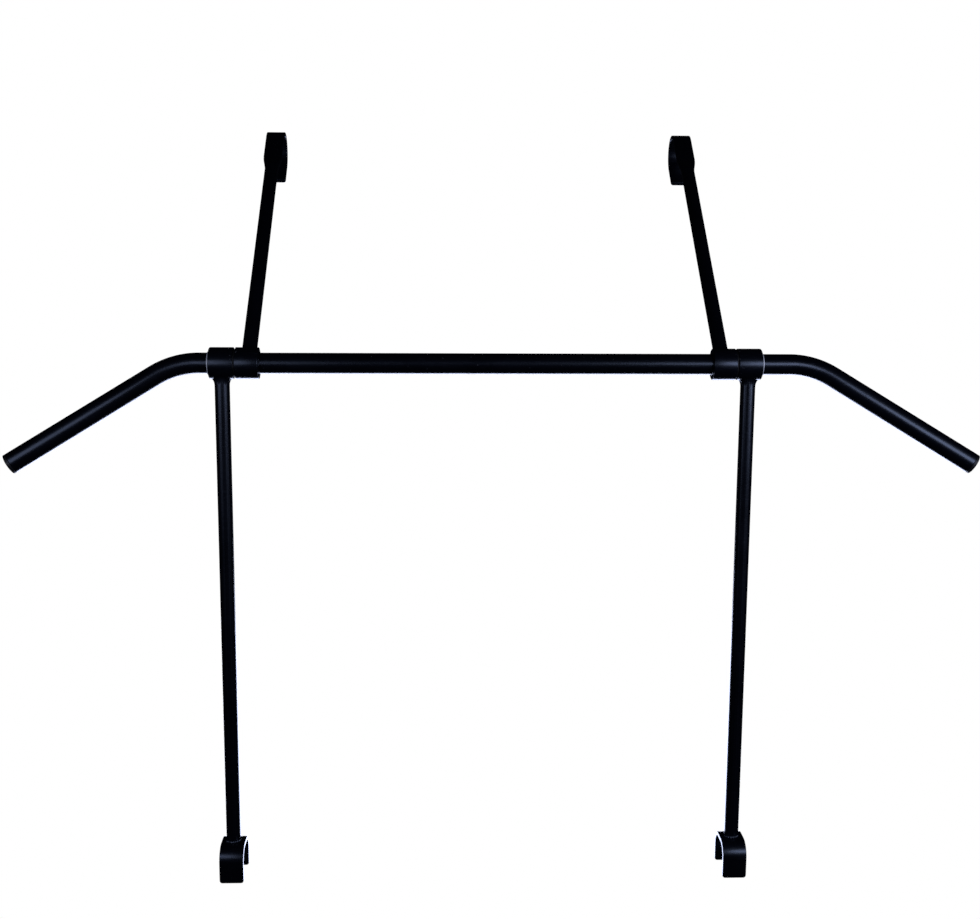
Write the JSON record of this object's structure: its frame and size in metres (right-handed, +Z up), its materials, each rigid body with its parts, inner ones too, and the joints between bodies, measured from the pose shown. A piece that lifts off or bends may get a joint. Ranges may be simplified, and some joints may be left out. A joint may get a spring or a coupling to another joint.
{
  "type": "pull up bar",
  "caption": "Tubular pull-up bar with angled ends that hangs on a wall ladder by two hooked upper arms and two swivelling lower legs with rung cups.",
  "frame": {"origin": "on the axis of the upper rung that the part hangs on, midway between the two upper hooks", "axes": "+X along the bar, +Y into the wall, +Z up"},
  "size_m": [1.161, 0.2831, 1.0189],
  "materials": {
    "black_coat": "satin black powder coat with a fine texture",
    "plug_plastic": "moulded black plastic",
    "nylon": "black nylon",
    "zinc": "bright zinc plate"
  },
  "bodies": {
    "frame": {"main_bar": "black_coat", "end_plug_left": "plug_plastic", "fixed_collar_left": "black_coat", "thrust_washer_left": "nylon", "retaining_ring_left": "zinc", "upper_strut_left": "black_coat", "upper_hook_left": "black_coat", "end_plug_right": "plug_plastic", "fixed_collar_right": "black_coat", "thrust_washer_right": "nylon", "retaining_ring_right": "zinc", "upper_strut_right": "black_coat", "upper_hook_right": "black_coat"},
    "left_leg": {"pivot_collar_left": "black_coat", "pivot_bush_left": "nylon", "lower_strut_left": "black_coat", "lower_cup_left": "black_coat"},
    "right_leg": {"pivot_collar_right": "black_coat", "pivot_bush_right": "nylon", "lower_strut_right": "black_coat", "lower_cup_right": "black_coat"}
  },
  "joints": [
    {"name": "left_leg_pivot", "type": "hinge", "parent": "frame", "child": "left_leg", "pos_m": [-0.3177, -0.23, -0.359], "axis": [1, 0, 0], "continuous": true},
    {"name": "right_leg_pivot", "type": "hinge", "parent": "frame", "child": "right_leg", "pos_m": [0.3177, -0.23, -0.359], "axis": [1, 0, 0], "continuous": true}
  ]
}
